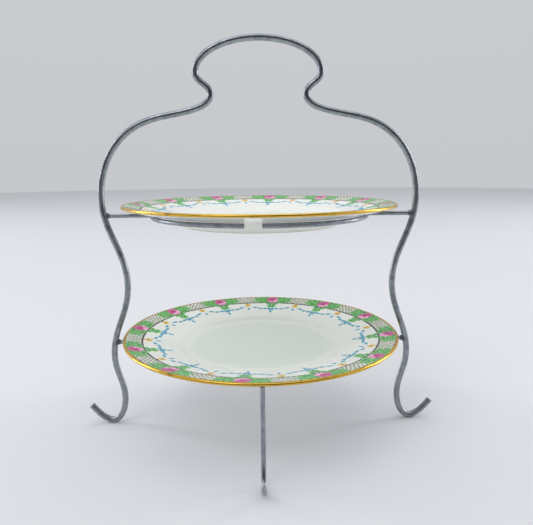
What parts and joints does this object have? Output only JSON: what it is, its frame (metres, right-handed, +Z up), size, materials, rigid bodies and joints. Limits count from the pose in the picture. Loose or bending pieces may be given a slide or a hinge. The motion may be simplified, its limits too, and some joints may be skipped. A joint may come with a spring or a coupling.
{
  "type": "tiered cake stand",
  "caption": "Tiered cake stand: loose decorated china plates resting in wire rings between the S-curved uprights of a bent steel rod with hook feet and a carrying handle.",
  "frame": {"origin": "on the table under the middle of the stand", "axes": "+X to the right-hand upright, +Y to the rear, +Z up; the front, with the opening in the upper ring, faces -Y"},
  "size_m": [0.353, 0.2952, 0.3776],
  "materials": {
    "steel_wire": "satin dark nickel plate on drawn wire",
    "weld_metal": "plated weld bead",
    "china": "gloss glazed bone china with an enamelled transfer border and a gilt edge"
  },
  "bodies": {
    "stand": {"main_rod": "steel_wire", "upper_ring": "steel_wire", "lower_ring": "steel_wire", "upper_left_bar": "steel_wire", "upper_right_bar": "steel_wire", "lower_left_bar": "steel_wire", "lower_right_bar": "steel_wire", "front_leg": "steel_wire", "rear_leg": "steel_wire", "weld_upper_left_upright": "weld_metal", "weld_upper_right_upright": "weld_metal", "weld_lower_left_upright": "weld_metal", "weld_lower_right_upright": "weld_metal", "weld_upper_left_ring": "weld_metal", "weld_upper_right_ring": "weld_metal", "weld_lower_left_ring": "weld_metal", "weld_lower_right_ring": "weld_metal", "weld_front_leg": "weld_metal", "weld_rear_leg": "weld_metal"},
    "upper_plate": {"upper_plate": "china"},
    "lower_plate": {"lower_plate": "china"}
  },
  "joints": [
    {"name": "lift_upper_plate", "type": "slide", "parent": "stand", "child": "upper_plate", "axis": [0, 0, 1], "range_m": [0, 0.05]},
    {"name": "lift_lower_plate", "type": "slide", "parent": "stand", "child": "lower_plate", "axis": [0, 0, 1], "range_m": [0, 0.014]}
  ]
}
